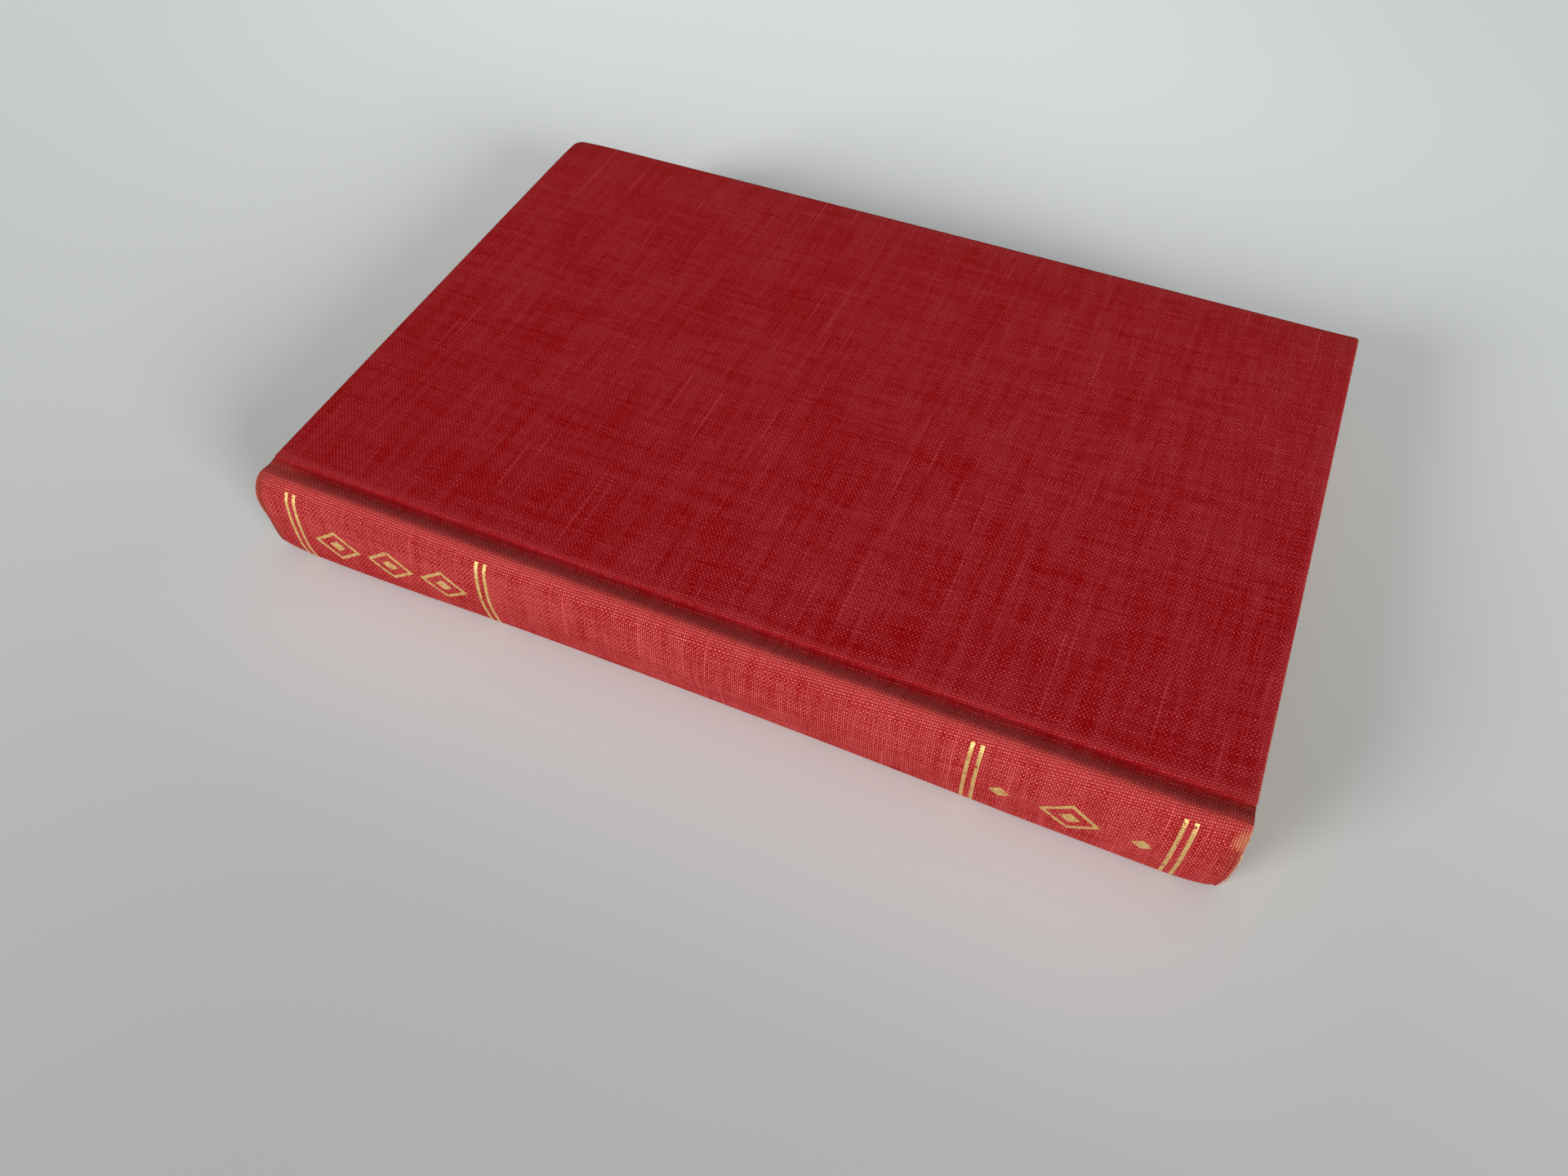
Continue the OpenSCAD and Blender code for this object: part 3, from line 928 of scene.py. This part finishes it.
class Graph:
    """Nodes of a material or world, from the inside out. Plain numbers and Values may be mixed as inputs."""

    def __init__(self, name, kind=bpy.data.materials, shader="Principled BSDF"):
        self.owner = kind.new(name)
        self.owner.use_nodes = True
        self.tree = self.owner.node_tree
        self.shader = self.tree.nodes[shader]

    def feed(self, socket, value):
        if isinstance(value, Value):
            self.tree.links.new(value.socket, socket)
        elif value is not None:
            socket.default_value = value

    def add(self, kind, inputs=(), output=0, **settings):
        """Adds a shader node of a kind with its inputs, and gives one of its outputs."""
        node = self.tree.nodes.new("ShaderNode" + kind)
        for key, value in settings.items():
            setattr(node, key, value)
        for name, value in dict(inputs).items():
            self.feed(node.inputs[name], value)
        return Value(self, node.outputs[output])

    def calc(self, operation, a, b=None):
        return self.add("Math", {0: a, 1: b}, operation=operation)

    def clamped(self, value):
        return self.add("Math", {0: value, 1: 0.0}, operation="ADD", use_clamp=True)

    def step(self, value, low, high, to_low=0.0, to_high=1.0):
        """Smooth step of a value between two others."""
        inputs = {"Value": value, "From Min": low, "From Max": high, "To Min": to_low, "To Max": to_high}
        return self.add("MapRange", inputs, interpolation_type="SMOOTHSTEP")

    def vector(self, x, y, z=0.0):
        return self.add("CombineXYZ", {"X": x, "Y": y, "Z": z})

    def split(self, kind, output=0, **settings):
        """The three parts of a node's vector."""
        vector = self.add(kind, (), output, **settings)
        return [self.add("SeparateXYZ", {0: vector}, k) for k in range(3)]

    def noise(self, x, y, z, detail, roughness=0.5):
        inputs = {"Vector": self.vector(x, y, z), "Scale": 1.0, "Detail": detail, "Roughness": roughness}
        return self.add("TexNoise", inputs, "Fac")

    def grain(self, u, v, long, wide, seed, detail=2.0):
        """Noise in the cloth, of about the given sizes in millimetres along u and v."""
        return self.noise(u / long, v / wide, seed, detail)

    def mottle(self, place, rates, detail, roughness=0.5):
        """Noise that changes so many times a millimetre along each axis."""
        x, y, z = (part * rate for part, rate in zip(place, rates))
        return self.noise(x, y, z, detail, roughness)

    def mix(self, share, a, b):
        return self.add("Mix", {0: share, 6: a, 7: b}, 2, data_type="RGBA")

    def mark(self, name):
        """A mark's values, or 0 on a piece that doesn't have it."""
        return self.add("Attribute", (), "Fac", attribute_name=name)

    def cloth_place(self):
        return self.split("UVMap", uv_map="cloth_mm")[:2]

    def object_place(self):
        return [part / MM for part in self.split("TexCoord", "Object")]

    def bump(self, height, distance, strength):
        return self.add("Bump", {"Height": height, "Distance": distance * MM, "Strength": strength})

    def finish(self, **inputs):
        for name, value in inputs.items():
            self.feed(self.shader.inputs[name.replace("_", " ")], value)
        return self.owner

    def matt(self, colour, roughness, relief):
        """The material, matt with the shine of paper and raw cotton."""
        return self.finish(Base_Color=colour, Roughness=roughness, Normal=relief, Specular_IOR_Level=0.2)


def linear(r, g, b):
    """A colour given in screen values from 0 to 255, in linear light."""
    channels = [c / 255 for c in (r, g, b)]
    return tuple(c / 12.92 if c <= 0.04045 else ((c + 0.055) / 1.055) ** 2.4 for c in channels) + (1.0,)


# The covers' cloth, and the spine's, which is faded and also paints light up the joints' grooves
GAP_RED = linear(100, 0, 2)
CRIMSON = linear(134, 0, 4)
# Worn red, which also gives the painted sheen towards the fore edge
WORN_AND_SHEEN_RED = linear(140, 28, 34)
PINK_THREAD = linear(208, 84, 90)
# Rubbed threads, and painted light on the joint's edge, groove and ridge
RUB_AND_LIGHT_RED = linear(180, 60, 64)
SPINE_GAP = linear(107, 3, 5)
SPINE_RED = linear(128, 9, 14)
SPINE_WORN = linear(143, 34, 36)
SPINE_THREAD = linear(200, 102, 98)
SPINE_RUB_AND_LIGHT = linear(208, 78, 75)
# Both cloths where they are pressed in and painted with shade in the groove, soiled, or worn down to undyed
# threads
GROOVE_SHADE_RED = linear(84, 4, 8)
BROWN = linear(98, 44, 28)
TAN_GAP = linear(132, 48, 38)
TAN_THREAD = linear(182, 116, 88)
# Frayed threads, the leaves' edges, mull and foil
FRAY_DARK, FRAY_PALE = linear(150, 78, 52), linear(214, 158, 112)
LEAF_PALE, LEAF_TONED, LEAF_BROWN = linear(232, 216, 182), linear(188, 160, 118), linear(150, 125, 92)
COTTON_DARK, COTTON_PALE = linear(176, 150, 108), linear(222, 208, 176)
GOLD_PALE, GOLD_DEEP, GOLD_GONE = linear(234, 202, 132), linear(186, 140, 78), linear(140, 48, 34)
COTTON_PITCH = 0.8


class Weave:
    """Plain weave at a place in the cloth: which thread is on top, and how threads and crossings vary."""

    def __init__(self, g, u, v):
        self.u, self.v = u, v
        sway = (g.grain(u, v, 30, 30, 0.0) - 0.5) * 1.1
        lean = v * 0.044 - v * v * 0.00034
        wander_u = (g.grain(u, v, 0.9, 5, 31.0, 1) - 0.5) * 0.28
        wander_v = (g.grain(u, v, 5, 0.8, 37.0, 1) - 0.5) * 0.22
        p = (u + lean + sway + wander_u) * (pi / PITCH_U)
        q = (v + sway + wander_v) * (pi / PITCH_V)
        self.wave_v = g.calc("SINE", q)
        self.crossing = g.calc("SINE", p) * self.wave_v
        self.column = g.calc("FLOOR", p / pi)
        self.row = g.calc("FLOOR", q / pi)
        self.chance = g.add("TexWhiteNoise", {"Vector": g.vector(self.column, self.row)}, "Value",
                            noise_dimensions="2D")
        self.thread_y = g.noise(self.column * 5.17, v / 9, 27.0, 1)
        self.thread_x = g.noise(u / 9, self.row * 7.31, 21.0, 1)


class CaseCloth(Weave):
    """The weave of the case's cloth, with its uneven dye, its slubs, and the wear, painted light and painted
    shade that the marks give.
    """

    def __init__(self, g, u, v):
        super().__init__(g, u, v)
        for name in ("rub", "soil", "fade", "fray", "press"):
            setattr(self, name, g.mark(name))
        across = g.grain(u, v, 36, 2.4, 3.0, 3)
        lengthwise = g.grain(u, v, 2.2, 44, 8.0, 3)
        patch = g.grain(u, v, 15, 15, 12.0, 2)
        self.bands = g.step(across * 0.42 + lengthwise * 0.34 + patch * 0.24, 0.39, 0.61)
        self.slub_x = g.step(g.noise(u / 34, self.row * 5.93, 41.0, 1), 0.66, 0.76)
        self.slub_y = g.step(g.noise(self.column * 6.17, v / 26, 47.0, 1), 0.72, 0.82)


def dyed(g, c):
    """The cloth's uneven dye, with darker gaps between the threads, and a painted sheen growing towards the
    fore edge.
    """
    red = g.mix(c.fade, CRIMSON, SPINE_RED)
    worn = g.mix(c.fade, WORN_AND_SHEEN_RED, SPINE_WORN)
    dark = g.mix(c.fade, GAP_RED, SPINE_GAP)
    # Painted sheen: the cloth turns greyer towards the fore edge
    far_sheen = g.step(c.u, 0, 110, 0.0, 0.2)
    share = g.clamped(c.bands * 0.62 + c.slub_x * 0.3 + c.slub_y * 0.3 + far_sheen)
    base = g.mix(share, red, worn)
    gap = g.step(abs(c.crossing), 0.0, 0.30)
    return g.mix(1.0 - gap, base, g.mix(0.55, base, dark))


def with_pale_threads(g, c, colour):
    """The paler threads over a colour, strongest towards the spine and the tail."""
    fade_and_light_share = c.fade * 0.22
    # The rub marks add painted light to the pale threads, and the groove's painted shade takes some away
    over_share = g.clamped(
        c.chance * 0.42 + (c.thread_y - 0.5) * 1.5 + c.bands * 0.16 + c.slub_y * 0.5
        + c.rub * 0.35 + fade_and_light_share - c.press * 0.45 + 0.20)
    under_share = g.clamped(
        c.chance * -0.22 + (c.thread_x - 0.5) * 1.6 + c.bands * 0.14 + c.slub_x * 0.8
        + c.rub * 0.15 + c.press * 0.10 + fade_and_light_share + 0.14)
    fresh = g.calc("MAXIMUM", g.step(c.u + c.v, 100, -20, 0.66, 1.0),
                   c.fade * g.step(c.u, -26, -14, 0.75, 1.15))
    thread = g.mix(c.fade, PINK_THREAD, SPINE_THREAD)
    over = g.step(c.crossing, 0.22, 0.92)
    under = g.step(c.crossing * -1.0, 0.25, 0.95)
    colour = g.mix(over * over_share * fresh, colour, thread)
    return g.mix(under * under_share * fresh, colour, thread)


def with_wear(g, c, colour):
    """A colour rubbed paler and given painted light, pressed darker with painted shade in the groove, soiled,
    and worn down to undyed threads.
    """
    lift = g.clamped(c.rub * 0.5 + c.slub_x * 0.22 + c.slub_y * 0.10)
    raised = g.step(abs(c.crossing), 0.1, 0.7, 0.3, 1.0)
    colour = g.mix(lift * raised, colour, g.mix(c.fade, RUB_AND_LIGHT_RED, SPINE_RUB_AND_LIGHT))
    # Painted shade in the joint's groove
    colour = g.mix(c.press * 0.7, colour, GROOVE_SHADE_RED)
    colour = g.mix(c.soil * (0.75 - c.thread_x * 0.2), colour, BROWN)
    bare = g.step(c.fray + c.chance * 0.25 + c.thread_x * 0.5, 0.55, 1.15)
    stripe = g.step(abs(c.wave_v), 0.35, 0.95)
    return g.mix(bare, colour, g.mix(stripe, TAN_GAP, TAN_THREAD))


def case_cloth():
    """Red cloth woven from a darker and a paler thread, unevenly dyed, with wear, painted light and painted
    shade taken from the marks.
    """
    g = Graph("woven_book_cloth")
    c = CaseCloth(g, *g.cloth_place())
    colour = with_wear(g, c, with_pale_threads(g, c, dyed(g, c)))
    height = abs(c.crossing) + (c.slub_x + c.slub_y) * 0.4
    return g.finish(Base_Color=colour, Roughness=g.step(c.bands, 0.0, 1.0, 0.78, 0.9),
                    Normal=g.bump(height, 0.05, 0.8), Specular_IOR_Level=0.03)


def frayed_thread():
    g = Graph("frayed_thread")
    shade = g.noise(*g.object_place(), 2)
    colour = g.mix(g.step(shade, 0.3, 0.7), FRAY_DARK, FRAY_PALE)
    return g.finish(Base_Color=colour, Roughness=0.9, Specular_IOR_Level=0.1)


def paper(name, tint, shade, scale=1.0):
    """Uncoated paper or card, faintly mottled and fibrous."""
    g = Graph(name)
    place = g.object_place()
    mottle = g.mottle(place, [0.08 * scale] * 3, 3)
    fibre = g.mottle(place, (3.0 * scale, 1.2 * scale, 3.0 * scale), 4, 0.65)
    colour = g.mix(g.clamped(mottle * 0.7 + fibre * 0.5), tint, shade)
    return g.matt(colour, 0.88, g.bump(fibre, 0.03, 0.5))


def leaf_edges():
    """Cut edges of the leaves: toned lines, each leaf its own shade, browner towards the head."""
    g = Graph("leaf_edges")
    place = g.object_place()
    shade = g.clamped(g.mark("tone") * 0.55 + g.mottle(place, (0.05, 0.05, 0.3), 3) * 0.4)
    colour = g.mix(shade, LEAF_PALE, LEAF_TONED)
    colour = g.mix(g.step(place[1], 40, 96) * 0.25, colour, LEAF_BROWN)
    return g.matt(colour, 0.85, g.bump(g.mottle(place, (2, 2, 9), 3), 0.03, 0.5))


def open_cotton():
    """Mull: an open cotton weave stiffened with glue."""
    g = Graph("open_cotton")
    x, y, z = g.object_place()
    a, b = (g.calc("SINE", line * (pi / COTTON_PITCH)) for line in (x + z, y))
    net = g.step(g.calc("MAXIMUM", abs(a), abs(b)), 0.6, 0.95)
    return g.matt(g.mix(net, COTTON_DARK, COTTON_PALE), 0.9, g.bump(net, 0.05, 0.6))


def gold_foil():
    """Blocked foil on cloth: it takes the weave's bumps, and is worn off here and there."""
    g = Graph("gold_foil")
    w = Weave(g, *g.cloth_place())
    height = abs(w.crossing)
    spots = g.grain(w.u, w.v, 0.9, 0.9, 2.0, 3)
    worn = g.step(spots + w.chance * 0.12 - height * 0.10, 0.60, 0.68)
    tone = g.clamped(g.grain(w.u, w.v, 1.4, 1.4, 5.0, 2) * 0.7 + w.chance * 0.35)
    colour = g.mix(worn, g.mix(tone, GOLD_PALE, GOLD_DEEP), GOLD_GONE)
    return g.finish(Base_Color=colour, Metallic=g.step(worn, 0.0, 1.0, 0.8, 0.0),
                    Roughness=g.step(worn, 0.0, 1.0, 0.48, 0.8), Normal=g.bump(height, 0.07, 1.0))


# The slot of each CAD node that stays, by a word in its name
STAYING = {"mull": "mull", "lining": "kraft", "board": "grey_board", "endpaper": "endpaper",
           "pastedown": "endpaper"}


def dress_cad(materials):
    """Gives the CAD nodes that stay their materials."""
    for name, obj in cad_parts.items():
        for word, slot in STAYING.items():
            if word in name:
                obj.data.materials.clear()
                obj.data.materials.append(materials[slot])


# Light, floor and camera

# The camera's place in millimetres and its directions, worked out from the front cover's corners
CAMERA_AT = (-171.36, -64.7, 196.1)
CAMERA_RIGHT = (0.40022, -0.91641, -0.00299)
CAMERA_UP = (0.72637, 0.31523, 0.61075)
CAMERA_BACK = (-0.55876, -0.24661, 0.79182)
FOCAL_PX = 1474
IMAGE_W = 1920
SENSOR_W = 36.0
ROOM = (0.436, 0.440, 0.444, 1.0)
BACKGROUND = (0.66, 0.67, 0.67, 1.0)
# A broad window beside the spine: the direction of each of its parts in degrees, and its strength
WINDOW_PARTS = ((-35, 2.9), (15, 0.15), (60, 2.6))
WINDOW_HEIGHT = 18
WINDOW_SPREAD = 24
TABLE_HALF = 40000.0
# Table colours: painted shade near the camera, the far table, the evened sides, and a painted glow from the
# spine
TABLE_NEAR = linear(170, 172, 171)
TABLE_FAR = linear(216, 219, 218)
TABLE_SIDE = linear(193, 196, 195)
TABLE_GLOW = linear(202, 197, 196)


def make_camera():
    data = bpy.data.cameras.new("camera")
    data.sensor_width = SENSOR_W
    data.lens = FOCAL_PX / IMAGE_W * SENSOR_W
    data.clip_start = 0.01
    camera = linked("camera", data)
    turn = Matrix((CAMERA_RIGHT, CAMERA_UP, CAMERA_BACK)).transposed().to_4x4()
    camera.matrix_world = Matrix.Translation(Vector(CAMERA_AT) * MM) @ turn
    bpy.context.scene.camera = camera


def make_floor():
    """A pale table: painted shade deepening towards the camera, evener to both sides, and a painted warm glow
    beside the spine.
    """
    g = Graph("pale_floor")
    x, y, _ = g.object_place()
    # Painted shade: the table darkens towards the camera, less so to both sides
    far = g.step(x + y * 0.12, -230, 210)
    across = abs(x * 0.4 - y * 0.916 + 9.0)
    # Painted glow: warm light thrown back onto the table by the red spine
    beside = g.step(x, -118, -62) * g.step(abs(y), 130, 70) * g.step(x, -20, -60)
    colour = g.mix(far, TABLE_NEAR, TABLE_FAR)
    colour = g.mix(g.step(across, 70, 250, 0.0, 0.6), colour, TABLE_SIDE)
    colour = g.mix(beside, colour, TABLE_GLOW)
    material = g.finish(Base_Color=colour, Roughness=1.0, Specular_IOR_Level=0.0)
    points = [(a * TABLE_HALF, b * TABLE_HALF, 0) for a, b in ((-1, -1), (1, -1), (1, 1), (-1, 1))]
    floor = build("floor", points, [(0, 1, 2, 3)], material)


def make_light():
    """An even room, which shows as a pale backdrop, and the window."""
    g = Graph("soft_room", bpy.data.worlds, "Background")
    rays = ("Is Camera Ray", "Is Glossy Ray", "Is Transmission Ray")
    seen, glossy, through = (g.add("LightPath", (), ray) for ray in rays)
    shown = g.calc("MAXIMUM", g.calc("MAXIMUM", seen, glossy), through)
    bpy.context.scene.world = g.finish(Color=g.mix(shown, ROOM, BACKGROUND))
    for direction, strength in WINDOW_PARTS:
        data = bpy.data.lights.new("window", "SUN")
        data.angle = radians(WINDOW_SPREAD)
        data.energy = strength
        turn = (0, radians(WINDOW_HEIGHT - 90), radians(direction))
        linked("window", data).rotation_euler = turn


# The book

materials = {
    "book_cloth": case_cloth(),
    "frays": frayed_thread(),
    "gilt": gold_foil(),
    "leaves": leaf_edges(),
    "endpaper": paper("endpaper_stock", linear(233, 225, 206), linear(222, 211, 188)),
    "grey_board": paper("grey_board_stock", linear(158, 152, 142), linear(122, 116, 106), 2.0),
    "mull": open_cotton(),
    "kraft": paper("kraft_stock", linear(172, 128, 84), linear(140, 98, 60), 1.5),
}
make_camera()
make_light()
make_floor()
dress_cad(materials)
for cover_side in ("front", "back"):
    make_cover(cover_side, materials["book_cloth"])
make_spine(materials["book_cloth"])
make_card(materials["grey_board"])
make_gilt(materials["gilt"])
make_frays(materials["frays"])
make_leaves(materials["leaves"])
make_paper_joints(materials["endpaper"])
bpy.context.scene.view_settings.view_transform = "Standard"
